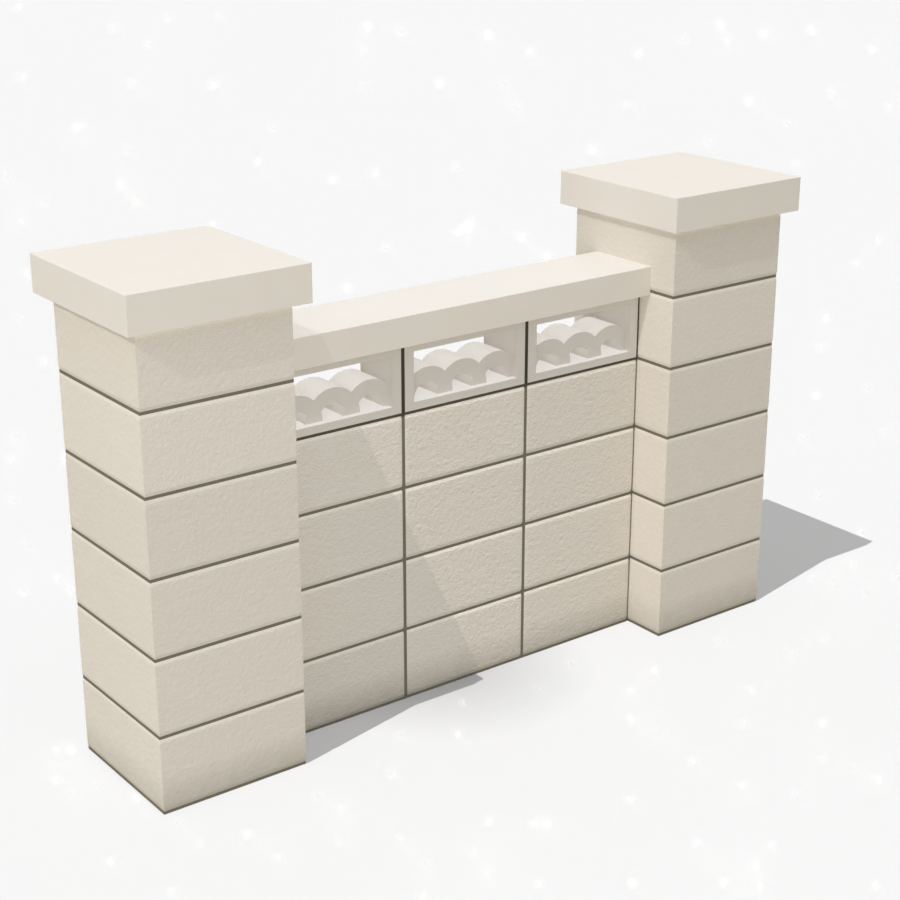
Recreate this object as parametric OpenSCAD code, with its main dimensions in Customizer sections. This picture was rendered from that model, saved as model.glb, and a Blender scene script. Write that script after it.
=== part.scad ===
// Concrete block wall: one bay of stack-bonded block between two square pillars, with a
// course of openwork blocks under the coping. Millimetres, +Z up. The origin is on the
// ground, midway between the pillars and in the middle of the wall's thickness.

/* [Blockwork] */
// Height of a full course, one block and the bed joint under it
course_h = 200; // [150:10:240]
// Thickness of the mortar joints between blocks
joint = 8; // [6:1:14]
// Distance the mortar is raked back from the block faces
rake = 2; // [2:1:16]
// Width of the bevel along the arrises of the roughcast blocks, measured on the face
bevel_w = 7; // [2:1:10]
// Depth of that bevel, measured in from the face
bevel_d = 1.5; // [1:0.5:5]

/* [Wall] */
// Solid courses under the openwork
wall_courses = 4; // [1:1:5]
// Blocks side by side in a course
wall_columns = 3; // [1:1:4]
// Length of one block with its joint
block_l = 400; // [360:10:440]
// Thickness of the wall
wall_t = 140; // [120:5:200]

/* [Openwork] */
// Height of an openwork block
openwork_h = 177; // [160:1:190]
// Height of its bottom and top rails
rail_h = 21.5; // [15:0.5:25]
// Width of its stiles
stile_w = 29.5; // [20:0.5:40]
// Waves in one block
waves = 3; // [2:1:4]
// Height of a wave, which is also the radius of its back
wave_h = 80; // [70:1:95]
// Thickness of the wave band
wave_band = 38; // [20:1:44]
// Distance the waves are set back from both faces of the wall
wave_setback = 18; // [5:1:40]

/* [Coping] */
// Thickness of the coping
coping_h = 80; // [50:5:120]
// Overhang of the coping past each face of the wall
coping_overhang = 40; // [30:1:60]

/* [Pillars] */
// Side of a pillar
pillar_w = 400; // [300:10:500]
// Height of the head block, the uppermost in each pillar
head_h = 175; // [120:1:190]
// Thickness of a pillar's cap
cap_h = 94; // [60:1:140]
// Overhang of the cap past each face of the pillar
cap_overhang = 34; // [30:1:60]

/* [Cast edges] */
// Chamfer along the arrises of the coping, the caps and the openwork
cast_arris = 1; // [1:0.5:4]
// Width of the drip groove under an overhang
drip_w = 10; // [6:1:12]
// Depth of the drip groove
drip_d = 6; // [3:1:8]
// Distance of the drip groove in from the edge
drip_in = 12; // [8:1:14]

/* [Hidden] */
$fn = 96;

// The pillars stand one full course and a head block over the wall's solid courses.
pillar_courses = wall_courses + 2;
block_h = course_h - joint;
wall_l = wall_columns * block_l;
pillar_x = (wall_l + pillar_w) / 2;

// The wave band is rooted this far into the rail and the stiles.
root = 6;
opening_w = block_l - joint - 2 * stile_w;
opening_h = openwork_h - 2 * rail_h;
wave_pitch = opening_w / waves;

// Levels of the undersides, from the ground up
openwork_z = wall_courses * course_h + joint;
coping_z = openwork_z + openwork_h + joint;
head_z = (pillar_courses - 1) * course_h + joint;
cap_z = head_z + head_h + joint;

LEFT = -1;
RIGHT = 1;

roughcast = "#DCD2C2";
openwork_cast = "#CFC7B9";
smooth_cast = "#EAE4DA";
mortar = "#5F594B";

function wall_block_name(course, column) = str("wall_course_", course, "_block_", column);

// Middle of a column of blocks, counted from the left pillar
function column_x(column) = (column - (wall_columns + 1) / 2) * block_l;

// Underside of a block, which lies on the bed joint of its course
function course_z(course) = (course - 1) * course_h + joint;

// Rectangle about the origin with its corners cut off by cut_l along l and cut_w along w
module cut_corners(l, w, cut_l, cut_w) {
    polygon([
        [l / 2 - cut_l, -w / 2],
        [l / 2, -w / 2 + cut_w],
        [l / 2, w / 2 - cut_w],
        [l / 2 - cut_l, w / 2],
        [-l / 2 + cut_l, w / 2],
        [-l / 2, w / 2 - cut_w],
        [-l / 2, -w / 2 + cut_w],
        [-l / 2 + cut_l, -w / 2]
    ]);
}

// A flat outline stood upright and given a depth along Y, about the middle of the wall
module upright(depth) {
    translate([0, depth / 2, 0])
        rotate([90, 0, 0])
            linear_extrude(depth)
                children();
}

// Block bevelled round its front and back faces, by cut_w along them and cut_d in from them
module face_block(l, w, h, cut_w, cut_d) {
    intersection() {
        linear_extrude(h)
            cut_corners(l, w, cut_w, cut_d);
        translate([-l / 2, 0, h / 2])
            rotate([90, 0, 90])
                linear_extrude(l)
                    cut_corners(w, h, cut_d, cut_w);
    }
}

// Square block bevelled along the top and bottom of all four sides, with slight upright arrises
module pillar_unit(w, h, cut_w, cut_d) {
    intersection() {
        linear_extrude(h)
            cut_corners(w, w, cut_d, cut_d);
        translate([-w / 2, 0, h / 2])
            rotate([90, 0, 90])
                linear_extrude(w)
                    cut_corners(w, h, cut_d, cut_w);
        translate([0, 0, h / 2])
            upright(w)
                cut_corners(w, h, cut_d, cut_w);
    }
}

// Mortar bed about the origin, its underside at level z
module bed(l, w, z, thickness) {
    translate([-l / 2, -w / 2, z])
        cube([l, w, thickness]);
}

// Mortar in the upright joints from one level to another: half joints at the pillars
module upright_joints(z_from, z_to) {
    depth = wall_t - 2 * rake;
    for (column = [0:wall_columns]) {
        x = (column - wall_columns / 2) * block_l;
        x_from = max(x - joint / 2, -wall_l / 2);
        x_to = min(x + joint / 2, wall_l / 2);
        translate([x_from, -depth / 2, z_from])
            cube([x_to - x_from, depth, z_to - z_from]);
    }
}

// Roughcast pillar block, its core grouted solid; the head block is lower than the others
module pillar_block(side, course) {
    height = course == pillar_courses ? head_h : block_h;
    color(roughcast)
        translate([side * pillar_x, 0, course_z(course)])
            pillar_unit(pillar_w, height, bevel_w, bevel_d);
}

// Beds of one pillar: under the first block, between blocks, and under the cap
module pillar_mortar(side) {
    w = pillar_w - 2 * rake;
    color(mortar)
        translate([side * pillar_x, 0, 0]) {
            for (course = [1:pillar_courses])
                bed(w, w, course_z(course) - joint, joint);
            bed(w, w, cap_z - joint, joint);
        }
}

// Square cast cap, flat on top, with a drip groove round the underside of its overhang
module pillar_cap(side) {
    w = pillar_w + 2 * cap_overhang;
    groove_w = w - 2 * drip_in;
    color(smooth_cast)
        translate([side * pillar_x, 0, cap_z])
            difference() {
                pillar_unit(w, cap_h, cast_arris, cast_arris);
                translate([0, 0, -drip_d])
                    linear_extrude(2 * drip_d)
                        difference() {
                            square(groove_w, center = true);
                            square(groove_w - 2 * drip_w, center = true);
                        }
            }
}

// Roughcast wall block, its cores grouted solid
module wall_block(course, column) {
    color(roughcast)
        translate([column_x(column), 0, course_z(course)])
            face_block(block_l - joint, wall_t, block_h, bevel_w, bevel_d);
}

// Beds that the solid courses and the openwork are laid on, each the full length of the wall
module wall_mortar() {
    depth = wall_t - 2 * rake;
    color(mortar)
        for (course = [1:wall_courses + 1])
            bed(wall_l, depth, course_z(course) - joint, joint);
}

// Upright joints of the solid courses, filled from one bed to the next
module wall_upright_mortar() {
    color(mortar)
        for (course = [1:wall_courses])
            upright_joints(course_z(course), course_z(course) + block_h);
}

// Row of round waves, each band running on behind the next one down to the bottom rail
module wave_outline() {
    intersection() {
        translate([-opening_w / 2 - root, -root])
            square([opening_w + 2 * root, wave_h + 2 * root]);
        for (wave = [1:waves])
            translate([(wave - (waves + 1) / 2) * wave_pitch, 0])
                difference() {
                    circle(wave_h);
                    circle(wave_h - wave_band);
                }
    }
}

// Openwork block: an open frame with the waves standing on its bottom rail
module openwork_block(column) {
    color(openwork_cast)
        translate([column_x(column), 0, openwork_z]) {
            difference() {
                face_block(block_l - joint, wall_t, openwork_h, cast_arris, cast_arris);
                translate([0, 0, rail_h + opening_h / 2])
                    upright(2 * wall_t)
                        square([opening_w, opening_h], center = true);
            }
            translate([0, 0, rail_h])
                upright(wall_t - 2 * wave_setback)
                    wave_outline();
        }
}

// Upright joints of the openwork course and the bed that the coping lies on
module openwork_mortar() {
    color(mortar) {
        upright_joints(openwork_z, coping_z);
        bed(wall_l, wall_t - 2 * rake, coping_z - joint, joint);
    }
}

// Cast coping between the pillars, with a drip groove under each overhang
module coping() {
    w = wall_t + 2 * coping_overhang;
    groove_y = w / 2 - drip_in - drip_w / 2;
    color(smooth_cast)
        translate([-wall_l / 2, 0, coping_z + coping_h / 2])
            rotate([90, 0, 90])
                linear_extrude(wall_l)
                    difference() {
                        cut_corners(w, coping_h, cast_arris, cast_arris);
                        for (side = [LEFT, RIGHT])
                            translate([side * groove_y, -coping_h / 2])
                                square([drip_w, 2 * drip_d], center = true);
                    }
}

for (course = [1:pillar_courses])
    pillar_block(LEFT, course);
pillar_mortar(LEFT);  // left_pillar_mortar
pillar_cap(LEFT);  // left_pillar_cap
for (course = [1:pillar_courses])
    pillar_block(RIGHT, course);
pillar_mortar(RIGHT);  // right_pillar_mortar
pillar_cap(RIGHT);  // right_pillar_cap
for (course = [1:wall_courses], column = [1:wall_columns])
    wall_block(course, column);
wall_mortar();
wall_upright_mortar();
for (column = [1:wall_columns])
    openwork_block(column);
openwork_mortar();
coping();
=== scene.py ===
import math

import bpy
import numpy as np
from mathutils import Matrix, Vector, noise


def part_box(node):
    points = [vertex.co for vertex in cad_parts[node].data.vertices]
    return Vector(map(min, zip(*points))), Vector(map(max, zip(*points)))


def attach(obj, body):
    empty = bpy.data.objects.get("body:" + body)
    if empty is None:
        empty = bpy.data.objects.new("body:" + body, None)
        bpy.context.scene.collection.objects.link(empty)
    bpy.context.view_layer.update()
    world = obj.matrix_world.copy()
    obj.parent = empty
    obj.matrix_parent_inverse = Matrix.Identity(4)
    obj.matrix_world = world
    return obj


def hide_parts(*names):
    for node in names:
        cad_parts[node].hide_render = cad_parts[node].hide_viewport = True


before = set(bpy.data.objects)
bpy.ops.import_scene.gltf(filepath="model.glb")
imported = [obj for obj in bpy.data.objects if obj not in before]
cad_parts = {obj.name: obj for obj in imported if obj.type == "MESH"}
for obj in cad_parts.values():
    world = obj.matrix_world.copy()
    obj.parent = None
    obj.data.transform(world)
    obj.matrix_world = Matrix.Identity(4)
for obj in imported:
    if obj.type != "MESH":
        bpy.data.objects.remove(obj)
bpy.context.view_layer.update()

MM = 0.001


# ---- Roughcast blocks -------------------------------------------------------------------
# Dense concrete blocks, pressed in a mould whose plates give the faces a fine roughcast and a
# shallow bevel all round. The pillars are one block to a course, rough on four sides; the wall
# blocks are rough on the front and the back. All are laid in stack bond on mortar beds.

BEVEL_WIDTH = 7 * MM
BEVEL_RINGS = (0 * MM, 3.5 * MM, 7 * MM, 9 * MM)
BEVEL_DEPTHS = (1.9 * MM, 1.3 * MM, 0.22 * MM, 0 * MM)
CORNER_CUT = 0.4 * MM
END_BEVEL_DEPTH = 1 * MM
END_TRIM = 1 * MM
SHARP_OVER = math.radians(30)
TONE_SPREAD = 0.05
TONE_PATTERN = Vector((395.9, 395.9, 395.9))
# Painted highlight on the top bevel of the front and back: its band down from the top, its share across that
# band, and its amount.
ARRIS_HIGHLIGHT_BAND = (0 * MM, 3.5 * MM, 7 * MM, 9.5 * MM)
ARRIS_HIGHLIGHT_SHARE = (0.3, 1.0, 1.0, 0.0)
ARRIS_HIGHLIGHT_AMOUNT = 0.045
RELIEF_STEP = 4 * MM
RELIEF_DEPTH = 0.9 * MM
RELIEF_LUMP = 10 * MM
RETURN_STEP = 20 * MM


def stations(start, end, step):
    """Even stations from start to end, about a step apart."""
    return np.linspace(start, end, max(1, round((end - start) / step)) + 1)


def block_outline(length, width, cut_along, cut_across, return_step):
    """Plan of a block about its middle: each point with its outward direction and roughness."""
    half_l = length / 2
    half_w = width / 2
    along = stations(-half_l + cut_along, half_l - cut_along, RELIEF_STEP)
    across = stations(-half_w + cut_across, half_w - cut_across, return_step)
    rough_return = 1.0 if return_step == RELIEF_STEP else 0.0
    points = [(x, -half_w, 0, -1, 1) for x in along]
    points += [(half_l, y, 1, 0, rough_return) for y in across]
    points += [(x, half_w, 0, 1, 1) for x in along[::-1]]
    points += [(-half_l, y, -1, 0, rough_return) for y in across[::-1]]
    return np.array(points)


def block_levels(height):
    """Heights of the rings of a block, close together over the two bevels."""
    bevel = np.array(BEVEL_RINGS)
    body = stations(bevel[-1], height - bevel[-1], RELIEF_STEP)
    return np.concatenate((bevel[:-1], body, height - bevel[-2::-1]))


def roughcast_relief(point):
    """Height of the roughcast at a point of the wall, from -1 to 1."""
    coarse = noise.noise(point / RELIEF_LUMP)
    fine = noise.noise(point / (RELIEF_LUMP * 0.47) + Vector((7, 3, 5)))
    return 0.75 * coarse + 0.5 * fine


def roughcast_block(name, low, high, rough_all_round):
    """Mesh of one block: a stack of rings with the roughcast raised on its rough faces."""
    length, width, height = high - low
    if rough_all_round:
        outline = block_outline(length, width, CORNER_CUT, CORNER_CUT, RELIEF_STEP)
    else:
        outline = block_outline(length, width, BEVEL_WIDTH, END_BEVEL_DEPTH, RETURN_STEP)
    levels = block_levels(height)
    edge = np.minimum(levels, height - levels)
    inset = np.interp(edge, BEVEL_RINGS, BEVEL_DEPTHS)
    strength = np.clip(edge / (2 * BEVEL_WIDTH), 0, 1)
    squeeze_x = 1 - 2 * inset / length if rough_all_round else np.ones(len(levels))
    squeeze_y = 1 - 2 * inset / width

    middle = (low + high) / 2
    own_tone = 1 + TONE_SPREAD * noise.noise(middle * 8 + TONE_PATTERN)
    # Painted highlight: the top bevel of the front and back is painted lighter, where light from above
    # catches it.
    painted_light = ARRIS_HIGHLIGHT_AMOUNT * np.interp(height - levels, ARRIS_HIGHLIGHT_BAND, ARRIS_HIGHLIGHT_SHARE)
    vertices = []
    relief = []
    tone_and_highlight = []
    for level, squeeze, rise, highlight in zip(levels, zip(squeeze_x, squeeze_y), strength, painted_light):
        for x, y, out_x, out_y, rough in outline:
            point = Vector((middle.x + x * squeeze[0], middle.y + y * squeeze[1], low.z + level))
            lift = roughcast_relief(point) * rough * rise
            point.x += out_x * lift * RELIEF_DEPTH
            point.y += out_y * lift * RELIEF_DEPTH
            vertices.append(point)
            relief.append(lift)
            # Each point keeps the block's own tone times the painted highlight of its band.
            tone_and_highlight.append(own_tone * (1 + highlight * abs(out_y)))

    around = len(outline)
    faces = []
    for ring in range(len(levels) - 1):
        base = ring * around
        for i in range(around):
            j = (i + 1) % around
            faces.append((base + i, base + j, base + around + j, base + around + i))
    faces.append(tuple(range(around - 1, -1, -1)))
    faces.append(tuple(range(len(vertices) - around, len(vertices))))

    mesh = bpy.data.meshes.new(name)
    mesh.from_pydata(vertices, [], faces)
    mesh.polygons.foreach_set("use_smooth", [len(face) == 4 for face in faces])
    mesh.set_sharp_from_angle(angle=SHARP_OVER)
    heights = mesh.attributes.new("relief", "FLOAT", "POINT")
    heights.data.foreach_set("value", relief)
    tones_and_highlights = mesh.attributes.new("tone_and_highlight", "FLOAT", "POINT")
    tones_and_highlights.data.foreach_set("value", tone_and_highlight)
    block = bpy.data.objects.new(name, mesh)
    bpy.context.scene.collection.objects.link(block)
    return block


def add(tree, kind, inputs=(), **settings):
    """A shader node. Its inputs are given by name or number: a socket is linked, a value is set."""
    made = tree.nodes.new(kind)
    for name, value in settings.items():
        setattr(made, name, value)
    for key, value in dict(inputs).items():
        if isinstance(value, bpy.types.NodeSocket):
            tree.links.new(value, made.inputs[key])
        else:
            made.inputs[key].default_value = value
    return made


def calculate(tree, operation, *values):
    """Result of a Math node."""
    return add(tree, "ShaderNodeMath", dict(enumerate(values)), operation=operation).outputs[0]


def mix_colours(tree, factor, first, second, blend_type="MIX"):
    """Colour between two colours, or one blended over the other."""
    inputs = {0: factor, 6: first, 7: second}
    made = add(tree, "ShaderNodeMix", inputs, data_type="RGBA", blend_type=blend_type)
    return made.outputs[2]


def spread(tree, value, low, high, new_low, new_high):
    """Value moved from one range to another, and held there."""
    inputs = {"Value": value, "From Min": low, "From Max": high}
    inputs |= {"To Min": new_low, "To Max": new_high}
    return add(tree, "ShaderNodeMapRange", inputs).outputs["Result"]


def new_group(name, inputs, outputs):
    """Shader node group with named sockets: its tree, its input sockets and its output node."""
    tree = bpy.data.node_groups.new(name, "ShaderNodeTree")
    for socket, kind in inputs.items():
        tree.interface.new_socket(socket, in_out="INPUT", socket_type=kind)
    for socket, kind in outputs.items():
        tree.interface.new_socket(socket, in_out="OUTPUT", socket_type=kind)
    entry = tree.nodes.new("NodeGroupInput")
    return tree, entry.outputs, tree.nodes.new("NodeGroupOutput").inputs


def place(tree, group, **inputs):
    """A node group put to use in a material, with this material's own values."""
    made = tree.nodes.new("ShaderNodeGroup")
    made.node_tree = group
    for name, value in inputs.items():
        socket = made.inputs[name.replace("_", " ")]
        if isinstance(value, bpy.types.NodeSocket):
            tree.links.new(value, socket)
        else:
            socket.default_value = value
    return made.outputs


def noise_at(tree, size, detail=2.0, roughness=0.5, offset=0.0, distortion=0.0):
    """Noise in the object's own space, with lumps about the given size across."""
    where = add(tree, "ShaderNodeTexCoord").outputs["Object"]
    if offset:
        where = add(tree, "ShaderNodeVectorMath", {0: where, 1: (offset,) * 3}).outputs[0]
    scale = calculate(tree, "DIVIDE", 1.0, size)
    inputs = {"Vector": where, "Scale": scale, "Detail": detail, "Roughness": roughness}
    inputs["Distortion"] = distortion
    return add(tree, "ShaderNodeTexNoise", inputs).outputs["Fac"]


def facing_along_x(tree):
    """How far a face looks along X, from 0 to 1."""
    normal = add(tree, "ShaderNodeNewGeometry").outputs["True Normal"]
    return calculate(tree, "ABSOLUTE", add(tree, "ShaderNodeSeparateXYZ", {0: normal}).outputs["X"])


# Cement is never one even colour: clouds of lighter and darker paste, and grains of sand in it.
cement, given, result = new_group(
    "cement_colour",
    {
        "Colour": "NodeSocketColor",
        "Cloud Size": "NodeSocketFloat",
        "Cloud": "NodeSocketFloat",
        "Grain Size": "NodeSocketFloat",
        "Grain": "NodeSocketFloat",
    },
    {"Colour": "NodeSocketColor"},
)
cloud = noise_at(cement, given["Cloud Size"], detail=3.0, roughness=0.55)
cloud = calculate(cement, "MULTIPLY", calculate(cement, "SUBTRACT", cloud, 0.5), given["Cloud"])
sand = noise_at(cement, given["Grain Size"], detail=1.0, offset=3.7)
sand = calculate(cement, "MULTIPLY", calculate(cement, "SUBTRACT", sand, 0.5), given["Grain"])
level = calculate(cement, "ADD", calculate(cement, "ADD", cloud, sand), 1.0)
warmth = noise_at(cement, given["Cloud Size"], detail=1.0, offset=11.3)
WARM_PASTE = (1.008, 1.0, 0.985, 1)
COOL_PASTE = (0.992, 1.0, 1.012, 1)
tint = mix_colours(cement, warmth, WARM_PASTE, COOL_PASTE)
tinted = mix_colours(cement, 1.0, given["Colour"], tint, "MULTIPLY")
shaded = add(cement, "ShaderNodeVectorMath", {0: tinted, "Scale": level}, operation="SCALE")
cement.links.new(shaded.outputs[0], result["Colour"])

# Painted shade near the ground: darkest at the ground, fading within a hand's height, and less on faces that
# look along X, which get more of the sun.
ground_shade, given, result = new_group(
    "painted_ground_shade",
    {
        "Colour": "NodeSocketColor",
        "Soil": "NodeSocketColor",
        "Height": "NodeSocketFloat",
        "Amount": "NodeSocketFloat",
        "Amount Along X": "NodeSocketFloat",
    },
    {"Colour": "NodeSocketColor"},
)
where = add(ground_shade, "ShaderNodeTexCoord").outputs["Object"]
rise = add(ground_shade, "ShaderNodeSeparateXYZ", {0: where}).outputs["Z"]
ragged = noise_at(ground_shade, 35 * MM, detail=3.0)
rise = calculate(ground_shade, "MULTIPLY_ADD", calculate(ground_shade, "SUBTRACT", ragged, 0.5), 30 * MM, rise)
share = calculate(ground_shade, "SUBTRACT", 1.0, calculate(ground_shade, "DIVIDE", rise, given["Height"]))
share = add(ground_shade, "ShaderNodeClamp", {0: share}).outputs[0]
amount = spread(ground_shade, facing_along_x(ground_shade), 0.3, 0.7, given["Amount"], given["Amount Along X"])
share = calculate(ground_shade, "MULTIPLY", calculate(ground_shade, "POWER", share, 1.08), amount)
shaded_foot = mix_colours(ground_shade, share, given["Colour"], given["Soil"])
ground_shade.links.new(shaded_foot, result["Colour"])

# Sand in the surface: a height, in metres, of fine grains over slower lumps.
grain, given, result = new_group(
    "sand_grain",
    {"Grain Size": "NodeSocketFloat", "Depth": "NodeSocketFloat"},
    {"Height": "NodeSocketFloat"},
)
fine = noise_at(grain, given["Grain Size"], detail=2.0, roughness=0.6)
lump_size = calculate(grain, "MULTIPLY", given["Grain Size"], 3.0)
lump = noise_at(grain, lump_size, detail=1.0, offset=5.1)
height = calculate(grain, "MULTIPLY", calculate(grain, "ADD", fine, lump), given["Depth"])
grain.links.new(height, result["Height"])

# The grit of the roughcast: wrinkles between the lumps, shallower on faces that look along X.
wrinkles, given, result = new_group(
    "roughcast_wrinkles",
    {"Size": "NodeSocketFloat", "Depth": "NodeSocketFloat", "Depth Along X": "NodeSocketFloat"},
    {"Height": "NodeSocketFloat"},
)
folds = noise_at(wrinkles, given["Size"], detail=3.0, roughness=0.6, offset=2.3, distortion=0.8)
depth = spread(wrinkles, facing_along_x(wrinkles), 0.3, 0.7, given["Depth"], given["Depth Along X"])
height = calculate(wrinkles, "MULTIPLY", folds, depth)
wrinkles.links.new(height, result["Height"])

# Painted light and shade: slopes that look up are painted lighter, and those that look down are painted
# darker.
slope_light, given, result = new_group(
    "painted_slope_light",
    {"Colour": "NodeSocketColor", "Normal": "NodeSocketVector", "Amount": "NodeSocketFloat"},
    {"Colour": "NodeSocketColor"},
)
upward = add(slope_light, "ShaderNodeSeparateXYZ", {0: given["Normal"]}).outputs["Z"]
upward = spread(slope_light, upward, -0.3, 0.3, -1.0, 1.0)
level = calculate(slope_light, "MULTIPLY_ADD", upward, given["Amount"], 1.0)
painted_light = add(slope_light, "ShaderNodeVectorMath", {0: given["Colour"], "Scale": level}, operation="SCALE")
slope_light.links.new(painted_light.outputs[0], result["Colour"])

PILLAR_COLOUR = (0.85, 0.794, 0.723, 1)
# The wall's blocks are the pillars' colour painted a little darker: painted shade, which lowers the soft
# light on the wall against its stronger sun.
WALL_COLOUR_WITH_SHADE = (0.823, 0.773, 0.711, 1)
# Colour and height of the painted shade at the foot of the blocks.
GROUND_SHADE_COLOUR = (0.42, 0.40, 0.34, 1)
GROUND_SHADE_HEIGHT = 108 * MM


def roughcast_material(name, base, fold_size, fold_depth, slope_light_amount):
    """Pale roughcast concrete: how large and deep its folds are, and how much painted light and shade their
    slopes get.
    """
    material = bpy.data.materials.new(name)
    material.use_nodes = True
    tree = material.node_tree
    surface = tree.nodes["Principled BSDF"]
    colour = place(
        tree, cement, Colour=base, Cloud_Size=45 * MM, Cloud=0.03, Grain_Size=1.6 * MM, Grain=0.04
    )["Colour"]
    relief = add(tree, "ShaderNodeAttribute", attribute_name="relief").outputs["Fac"]
    # Painted shade: the hollows of the roughcast are a little darker, and its lumps a little lighter.
    painted_hollow_shade = spread(tree, relief, -0.6, 0.4, 0.985, 1.005)
    tone_and_highlight = add(tree, "ShaderNodeAttribute", attribute_name="tone_and_highlight").outputs["Fac"]
    level = calculate(tree, "MULTIPLY", painted_hollow_shade, tone_and_highlight)
    colour = add(tree, "ShaderNodeVectorMath", {0: colour, "Scale": level}, operation="SCALE").outputs[0]
    # Painted shade, darker towards the ground.
    colour = place(
        tree, ground_shade, Colour=colour, Soil=GROUND_SHADE_COLOUR, Height=GROUND_SHADE_HEIGHT, Amount=0.65, Amount_Along_X=0.47
    )["Colour"]
    height = place(tree, grain, Grain_Size=1.8 * MM, Depth=0.12 * MM)["Height"]
    folds = place(tree, wrinkles, Size=fold_size, Depth=fold_depth, Depth_Along_X=0.4 * MM)["Height"]
    height = calculate(tree, "ADD", height, folds)
    bump = add(tree, "ShaderNodeBump", {"Height": height, "Distance": 1.0, "Strength": 1.0})
    # Painted light and shade on the slopes of the folds.
    colour = place(tree, slope_light, Colour=colour, Normal=bump.outputs[0], Amount=slope_light_amount)["Colour"]
    tree.links.new(colour, surface.inputs["Base Color"])
    tree.links.new(bump.outputs[0], surface.inputs["Normal"])
    surface.inputs["Roughness"].default_value = 0.92
    surface.inputs["Specular IOR Level"].default_value = 0.25
    return material


pillar_courses = sum(name.startswith("left_pillar_block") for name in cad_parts)
pillar_blocks = [
    f"{side}_pillar_block_{course + 1}" for side in ("left", "right") for course in range(pillar_courses)
]
wall_blocks = sorted(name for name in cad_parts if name.startswith("wall_course"))
pillar_roughcast = roughcast_material("pillar_roughcast", PILLAR_COLOUR, 5.8 * MM, 1.8 * MM, 0.125)
wall_roughcast = roughcast_material("wall_roughcast", WALL_COLOUR_WITH_SHADE, 6.3 * MM, 2.2 * MM, 0.2)
roughcast_blocks = {}
for node in pillar_blocks + wall_blocks:
    low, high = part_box(node)
    in_pillar = node in pillar_blocks
    if not in_pillar:
        low.x += END_TRIM
        high.x -= END_TRIM
    block = roughcast_block(f"{node}_roughcast", low, high, in_pillar)
    block.data.materials.append(pillar_roughcast if in_pillar else wall_roughcast)
    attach(block, "root")
    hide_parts(node)
    roughcast_blocks[node] = block


# ---- Mortar -----------------------------------------------------------------------------
# Cement and dark sharp sand, raked back to the foot of the blocks' bevels while it was green. The
# beds run through and the wider upright joints are filled between them. The openwork is laid in a
# darker mix, its upright joints the darkest and struck off nearly flush.

MORTAR_COLOUR = (0.20, 0.185, 0.142, 1)
OPENWORK_BED_COLOUR = (0.10, 0.088, 0.066, 1)
OPENWORK_UPRIGHT_COLOUR = (0.062, 0.056, 0.042, 1)
PILLAR_BED_FORWARD_X = 1 * MM
PILLAR_BED_FORWARD_Y = 0.3 * MM
UPRIGHT_FORWARD = 0.5 * MM
OPENWORK_RAKE = 0.3 * MM
wall_low, wall_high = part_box("wall_mortar")
openwork_low, openwork_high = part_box("openwork_block_1")
openwork_bed_level = wall_high.z - 10 * MM

mortar = bpy.data.materials.new("raked_mortar")
mortar.use_nodes = True
tree = mortar.node_tree
surface = tree.nodes["Principled BSDF"]
where = add(tree, "ShaderNodeTexCoord").outputs["Object"]
where = add(tree, "ShaderNodeSeparateXYZ", {0: where}).outputs
at_openwork = calculate(tree, "GREATER_THAN", where["Z"], openwork_bed_level)
over_the_bed = calculate(tree, "GREATER_THAN", where["Z"], openwork_low.z + 0.1 * MM)
off_the_pillars = calculate(tree, "LESS_THAN", calculate(tree, "ABSOLUTE", where["X"]), wall_high.x)
at_openwork = calculate(tree, "MULTIPLY", at_openwork, off_the_pillars)
openwork_mortar = mix_colours(tree, over_the_bed, OPENWORK_BED_COLOUR, OPENWORK_UPRIGHT_COLOUR)
colour = mix_colours(tree, at_openwork, MORTAR_COLOUR, openwork_mortar)
colour = place(
    tree, cement, Colour=colour, Cloud_Size=25 * MM, Cloud=0.2, Grain_Size=1.5 * MM, Grain=0.5
)["Colour"]
height = place(tree, grain, Grain_Size=2.2 * MM, Depth=0.5 * MM)["Height"]
bump = add(tree, "ShaderNodeBump", {"Height": height, "Distance": 1.0, "Strength": 1.0})
tree.links.new(colour, surface.inputs["Base Color"])
tree.links.new(bump.outputs[0], surface.inputs["Normal"])
surface.inputs["Roughness"].default_value = 0.95
surface.inputs["Specular IOR Level"].default_value = 0.2

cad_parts["wall_mortar"].material_slots[0].material = mortar
block_pitch = openwork_high.x - wall_low.x + (openwork_low.x - wall_low.x)
cad_joint = 2 * (openwork_low.x - wall_low.x)


def laid_copy(name, material, move):
    """Piece that stands for a CAD node, with each point of its mesh moved a little."""
    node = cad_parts[name]
    mesh = node.data.copy()
    mesh.transform(node.matrix_world)
    for corner in mesh.vertices:
        corner.co = move(corner.co)
    mesh.materials[0] = material
    copy = bpy.data.objects.new(f"{name}_laid", mesh)
    bpy.context.scene.collection.objects.link(copy)
    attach(copy, "root")
    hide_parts(name)
    return copy


def brought_forward(point):
    """Point of a pillar's bed, moved out to where the bed is struck off."""
    pillar_x = math.copysign(wall_high.x + pillar_width / 2, point.x)
    out_x = math.copysign(PILLAR_BED_FORWARD_X, point.x - pillar_x)
    out_y = math.copysign(PILLAR_BED_FORWARD_Y, point.y)
    return Vector((point.x + out_x, point.y + out_y, point.z))


def widened(point, half_depth):
    """Point of an upright joint, moved out from the middle of its joint by what the blocks gave."""
    joint_x = wall_low.x + block_pitch * round((point.x - wall_low.x) / block_pitch)
    across = (point.x - joint_x) * (1 + 2 * END_TRIM / cad_joint)
    return Vector((joint_x + across, math.copysign(half_depth, point.y), point.z))


def wall_upright(point):
    """Point of the upright joints between the roughcast blocks."""
    return widened(point, wall_high.y + UPRIGHT_FORWARD)


def openwork_upright(point):
    """Point of the upright joints between the openwork blocks, or of the bed under the coping."""
    return widened(point, openwork_high.y - OPENWORK_RAKE)


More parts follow.
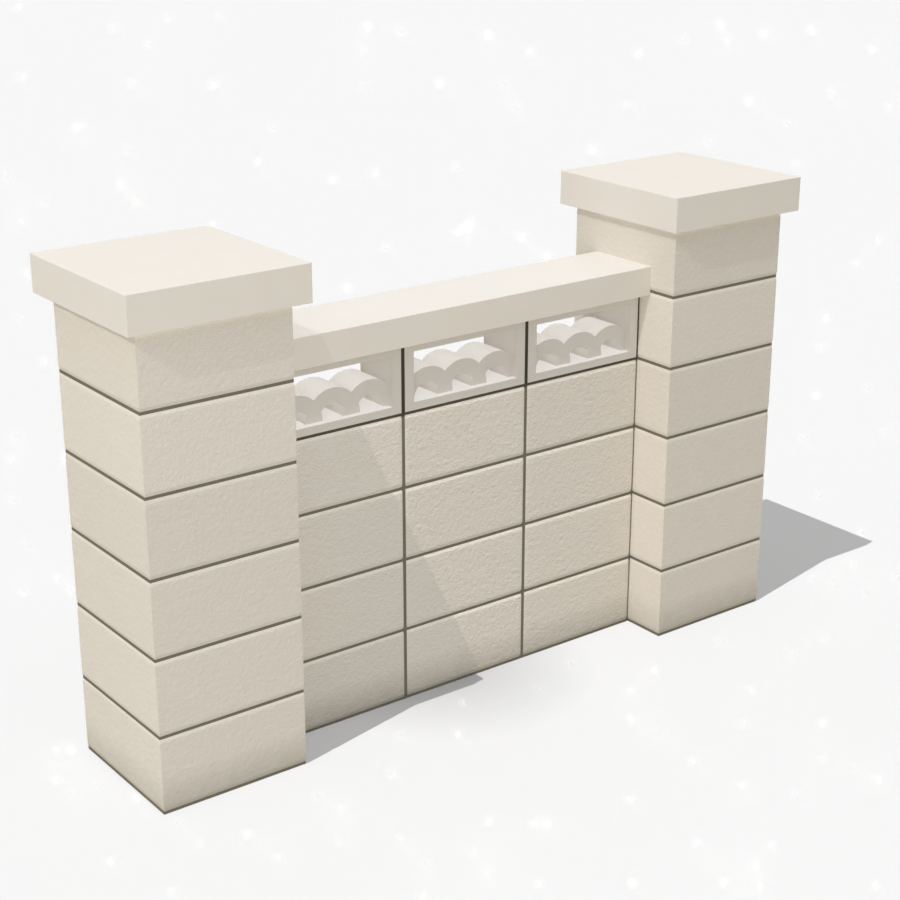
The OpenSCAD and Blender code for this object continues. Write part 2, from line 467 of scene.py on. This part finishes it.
pillar_low, pillar_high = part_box("left_pillar_block_1")
pillar_width = pillar_high.x - pillar_low.x
pillar_beds = [
    laid_copy(f"{side}_pillar_mortar", mortar, brought_forward) for side in ("left", "right")
]
wall_uprights = laid_copy("wall_upright_mortar", mortar, wall_upright)
openwork_uprights = laid_copy("openwork_mortar", mortar, openwork_upright)


# ---- Openwork blocks --------------------------------------------------------------------
# Wet-cast in steel moulds: an open frame with three waves that overlap one behind the other.
# The faces are smooth, with the odd pinhole where an air bubble met the mould.

pinholes, given, result = new_group(
    "pinholes",
    {"Spacing": "NodeSocketFloat", "Radius": "NodeSocketFloat", "Share": "NodeSocketFloat"},
    {"Mask": "NodeSocketFloat"},
)
where = add(pinholes, "ShaderNodeTexCoord").outputs["Object"]
density = calculate(pinholes, "DIVIDE", 1.0, given["Spacing"])
cells = add(pinholes, "ShaderNodeTexVoronoi", {"Vector": where, "Scale": density})
reach = calculate(pinholes, "MULTIPLY", cells.outputs["Distance"], given["Spacing"])
chance = add(pinholes, "ShaderNodeSeparateXYZ", {0: cells.outputs["Color"]}).outputs["X"]
present = calculate(pinholes, "LESS_THAN", chance, given["Share"])
inside = calculate(pinholes, "SUBTRACT", 1.0, calculate(pinholes, "DIVIDE", reach, given["Radius"]))
inside = add(pinholes, "ShaderNodeClamp", {0: inside}).outputs[0]
mask = calculate(pinholes, "MULTIPLY", inside, present)
pinholes.links.new(mask, result["Mask"])

OPENWORK_COLOUR = (0.77, 0.73, 0.682, 1)

openwork = bpy.data.materials.new("openwork_concrete")
openwork.use_nodes = True
tree = openwork.node_tree
surface = tree.nodes["Principled BSDF"]
colour = place(
    tree, cement, Colour=OPENWORK_COLOUR, Cloud_Size=60 * MM, Cloud=0.04, Grain_Size=1.2 * MM, Grain=0.06
)["Colour"]
holes = place(tree, pinholes, Spacing=14 * MM, Radius=1.1 * MM, Share=0.35)["Mask"]
# Painted shade: the pinholes are painted darker.
colour = mix_colours(tree, calculate(tree, "MULTIPLY", holes, 0.5), colour, (0.3, 0.28, 0.24, 1))
height = place(tree, grain, Grain_Size=1.4 * MM, Depth=0.05 * MM)["Height"]
height = calculate(tree, "MULTIPLY_ADD", holes, -1.0 * MM, height)
bump = add(tree, "ShaderNodeBump", {"Height": height, "Distance": 1.0, "Strength": 1.0})
tree.links.new(colour, surface.inputs["Base Color"])
tree.links.new(bump.outputs[0], surface.inputs["Normal"])
surface.inputs["Roughness"].default_value = 0.85
surface.inputs["Specular IOR Level"].default_value = 0.3



def shortened(point):
    """Point of an openwork block, moved in where it is on one of the ends."""
    past_pitch = (point.x - wall_low.x) % block_pitch
    across = past_pitch - block_pitch / 2
    if abs(across) < block_pitch / 2 - cad_joint:
        return point
    return Vector((point.x - math.copysign(END_TRIM, across), point.y, point.z))


openwork_blocks = [
    laid_copy(name, openwork, shortened)
    for name in sorted(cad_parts)
    if name.startswith("openwork_block")
]


# ---- Coping and caps --------------------------------------------------------------------
# Cast concrete slabs in white cement, trowelled flat on top, bedded on the openwork and on the
# head blocks of the pillars. Each has a drip groove under its overhang.

CAST_COLOUR = (0.871, 0.82, 0.75, 1)

cast = bpy.data.materials.new("white_cast_concrete")
cast.use_nodes = True
tree = cast.node_tree
surface = tree.nodes["Principled BSDF"]
colour = place(
    tree, cement, Colour=CAST_COLOUR, Cloud_Size=110 * MM, Cloud=0.035, Grain_Size=1.2 * MM, Grain=0.05
)["Colour"]
holes = place(tree, pinholes, Spacing=18 * MM, Radius=1.0 * MM, Share=0.3)["Mask"]
# Painted shade: the pinholes are painted darker.
colour = mix_colours(tree, calculate(tree, "MULTIPLY", holes, 0.45), colour, (0.4, 0.37, 0.31, 1))
height = place(tree, grain, Grain_Size=1.4 * MM, Depth=0.04 * MM)["Height"]
height = calculate(tree, "MULTIPLY_ADD", holes, -0.9 * MM, height)
bump = add(tree, "ShaderNodeBump", {"Height": height, "Distance": 1.0, "Strength": 1.0})
tree.links.new(colour, surface.inputs["Base Color"])
tree.links.new(bump.outputs[0], surface.inputs["Normal"])
surface.inputs["Roughness"].default_value = 0.8
surface.inputs["Specular IOR Level"].default_value = 0.3

for name in ("coping", "left_pillar_cap", "right_pillar_cap"):
    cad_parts[name].material_slots[0].material = cast


# ---- Ground and light -------------------------------------------------------------------
# A plain pale floor that reads as white in the light and keeps the wall's shadow. The sun stands
# high on the left, pale studio walls all round give the soft light, and a soft box fills from
# the left of the front.

FLOOR_SIZE = 200.0
FLOOR_BOUNCE = (0.165, 0.157, 0.136, 1)
FLOOR_SEEN = (0.25, 0.25, 0.25, 1)
SOFT_SHADE = 0.74
SOFT_SHADE_STARTS = 70 * MM
SOFT_SHADE_ENDS = 410 * MM

mesh = bpy.data.meshes.new("floor")
half = FLOOR_SIZE / 2
mesh.from_pydata([(-half, -half, 0), (half, -half, 0), (half, half, 0), (-half, half, 0)], [], [(0, 1, 2, 3)])
floor = bpy.data.objects.new("floor", mesh)
bpy.context.scene.collection.objects.link(floor)
paving = bpy.data.materials.new("pale_floor")
paving.use_nodes = True
tree = paving.node_tree
tree.nodes.clear()
path = add(tree, "ShaderNodeLightPath").outputs
seen = calculate(tree, "MAXIMUM", path["Is Camera Ray"], path["Is Glossy Ray"])
seen = calculate(tree, "MAXIMUM", seen, path["Is Transmission Ray"])
where = add(tree, "ShaderNodeTexCoord").outputs["Object"]
away = add(tree, "ShaderNodeVectorMath", {0: where}, operation="LENGTH").outputs["Value"]
# Painted shadow: the floor's seen colour is darkest near the middle and fades out 410 mm from it, as a soft
# shadow under the wall.
shade = spread(tree, away, SOFT_SHADE_STARTS, SOFT_SHADE_ENDS, SOFT_SHADE, 1.0)
shaded = add(tree, "ShaderNodeVectorMath", {0: FLOOR_SEEN[:3], "Scale": shade}, operation="SCALE").outputs[0]
colour = mix_colours(tree, seen, FLOOR_BOUNCE, shaded)
diffuse = add(tree, "ShaderNodeBsdfDiffuse", {"Color": colour})
output = add(tree, "ShaderNodeOutputMaterial", {"Surface": diffuse.outputs[0]})
mesh.materials.append(paving)

# Shares are of the light that makes a white surface facing up look white.
SUN_SHARE = 0.40
SUN_TRAVEL = Vector((0.470, 0.101, -1.0)).normalized()
PILLAR_SUN_SHARE = 0.16
PILLAR_SUN_TRAVEL = Vector((1.17, 0.26, -1.0)).normalized()
FLOOR_SUN_SHARE = 1.91
PILLAR_SUN_COLOUR = (1.0, 0.97, 0.88)
WALL_SUN_SHARE = 0.60
WALL_SUN_TRAVEL = Vector((0.484, 0.101, -1.0)).normalized()
WALL_SUN_COLOUR = (1.0, 0.93, 0.80)
COPING_SUN_SHARE = 0.098
COPING_SUN_TRAVEL = Vector((0.470, 0.385, -1.0)).normalized()
SUN_ANGLE = math.radians(0.25)


def sun_lamp(name, share, travel, colour=(1, 1, 1)):
    """Lamp at a great distance that gives a level surface its share of the light."""
    lamp = bpy.data.lights.new(name, "SUN")
    lamp.energy = math.pi * share / -travel.z
    lamp.angle = SUN_ANGLE
    lamp.color = colour
    sun = bpy.data.objects.new(name, lamp)
    sun.rotation_euler = travel.to_track_quat("-Z", "Y").to_euler()
    bpy.context.scene.collection.objects.link(sun)
    return sun


def linked(name, objects, link_state="INCLUDE"):
    """Collection that a lamp is linked to: only the objects given, or all but them."""
    collection = bpy.data.collections.new(name)
    for item in objects:
        collection.objects.link(item)
    for item in collection.collection_objects:
        item.light_linking.link_state = link_state
    return collection


# The sun is split by what it falls on. The pillars' blocks see it lower in the sky, so the caps
# keep a short shadow on them, and the wall's blocks see it past the coping. The coping gets most
# of its light from above without a shadow, so the cap's shadow on it stays pale.
pillar_lit = [roughcast_blocks[node] for node in pillar_blocks]
pillar_lit += pillar_beds
wall_lit = [roughcast_blocks[node] for node in wall_blocks]
wall_lit += [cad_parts["wall_mortar"], wall_uprights]
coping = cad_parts["coping"]
sun = sun_lamp("sun", SUN_SHARE, SUN_TRAVEL)
lit_apart = pillar_lit + wall_lit + [coping]
sun.light_linking.receiver_collection = linked("all_but_lit_apart", lit_apart, "EXCLUDE")
sun = sun_lamp("sun_on_coping", COPING_SUN_SHARE, COPING_SUN_TRAVEL)
sun.light_linking.receiver_collection = linked("only_coping", [coping])
sun = sun_lamp("sun_on_pillars", PILLAR_SUN_SHARE, PILLAR_SUN_TRAVEL, PILLAR_SUN_COLOUR)
sun.light_linking.receiver_collection = linked("pillars", pillar_lit)
sun = sun_lamp("sun_on_wall", WALL_SUN_SHARE, WALL_SUN_TRAVEL, WALL_SUN_COLOUR)
sun.light_linking.receiver_collection = linked("wall", wall_lit)
sun.light_linking.blocker_collection = linked("all_but_coping", [coping], "EXCLUDE")
sun = sun_lamp("sun_on_floor", FLOOR_SUN_SHARE, SUN_TRAVEL)
sun.light_linking.receiver_collection = linked("only_floor", [floor])

FLOOR_FILL_SHARE = 1.23
OPENWORK_FILL_SHARE = 0.528
OPENWORK_FILL_COLOUR = (0.935, 0.99, 1.07)
COPING_FILL_SHARE = 0.318
COPING_FILL_COLOUR = (0.95, 0.98, 1.03)


def fill_lamp(name, share, lit):
    """Light from above on some things only, without shadows, as if it had come in from all round."""
    lamp = bpy.data.lights.new(name, "SUN")
    lamp.energy = math.pi * share
    lamp.use_shadow = False
    fill = bpy.data.objects.new(name, lamp)
    bpy.context.scene.collection.objects.link(fill)
    fill.light_linking.receiver_collection = linked(f"{name}_lit", lit)
    return lamp


fill_lamp("floor_fill", FLOOR_FILL_SHARE, [floor])
fill_lamp("openwork_fill", OPENWORK_FILL_SHARE, openwork_blocks).color = OPENWORK_FILL_COLOUR
fill_lamp("coping_fill", COPING_FILL_SHARE, [coping]).color = COPING_FILL_COLOUR

SOFT_BOX_AT = Vector((-3.4, -3.6, 1.9))
SOFT_BOX_AIM = Vector((-0.3, -0.1, 0.6))
SOFT_BOX_SIZE = 2.4
SOFT_BOX_POWER = 53.0
lamp = bpy.data.lights.new("soft_box", "AREA")
lamp.shape = "SQUARE"
lamp.size = SOFT_BOX_SIZE
lamp.energy = SOFT_BOX_POWER
soft_box = bpy.data.objects.new("soft_box", lamp)
soft_box.location = SOFT_BOX_AT
soft_box.rotation_euler = (SOFT_BOX_AIM - SOFT_BOX_AT).to_track_quat("-Z", "Y").to_euler()
soft_box.visible_camera = False
bpy.context.scene.collection.objects.link(soft_box)
soft_box.light_linking.receiver_collection = linked("all_but_floor", [floor], "EXCLUDE")
past_the_box = [roughcast_blocks[node] for node in pillar_blocks if node.startswith("left")]
past_the_box += [pillar_beds[0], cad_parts["left_pillar_cap"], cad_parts["right_pillar_cap"]]
soft_box.light_linking.blocker_collection = linked("all_but_left_pillar", past_the_box, "EXCLUDE")

STUDIO_WALLS = 0.222
STUDIO_CEILING = 0.76
WALLS_END = 0.35
CEILING_STARTS = 0.75
world = bpy.data.worlds.new("studio")
bpy.context.scene.world = world
world.use_nodes = True
tree = world.node_tree
tree.nodes.clear()
path = add(tree, "ShaderNodeLightPath").outputs
seen = calculate(tree, "MAXIMUM", path["Is Camera Ray"], path["Is Glossy Ray"])
seen = calculate(tree, "MAXIMUM", seen, path["Is Transmission Ray"])
direction = add(tree, "ShaderNodeTexCoord").outputs["Generated"]
up = add(tree, "ShaderNodeSeparateXYZ", {0: direction}).outputs["Z"]
level = spread(tree, up, WALLS_END, CEILING_STARTS, STUDIO_WALLS, STUDIO_CEILING)
strength = calculate(tree, "MAXIMUM", level, seen)
sky = add(tree, "ShaderNodeBackground", {"Color": (1, 1, 1, 1), "Strength": strength})
add(tree, "ShaderNodeOutputWorld", {"Surface": sky.outputs[0]})

lens = bpy.data.cameras.new("camera")
lens.lens = 72.08
lens.sensor_width = 36
lens.clip_end = 500
camera = bpy.data.objects.new("camera", lens)
camera.location = (-2.7017, -3.5745, 2.2748)
camera.rotation_euler = (math.radians(70.001), 0, math.radians(-37.084))
bpy.context.scene.collection.objects.link(camera)
bpy.context.scene.camera = camera
bpy.context.scene.view_settings.view_transform = "Standard"
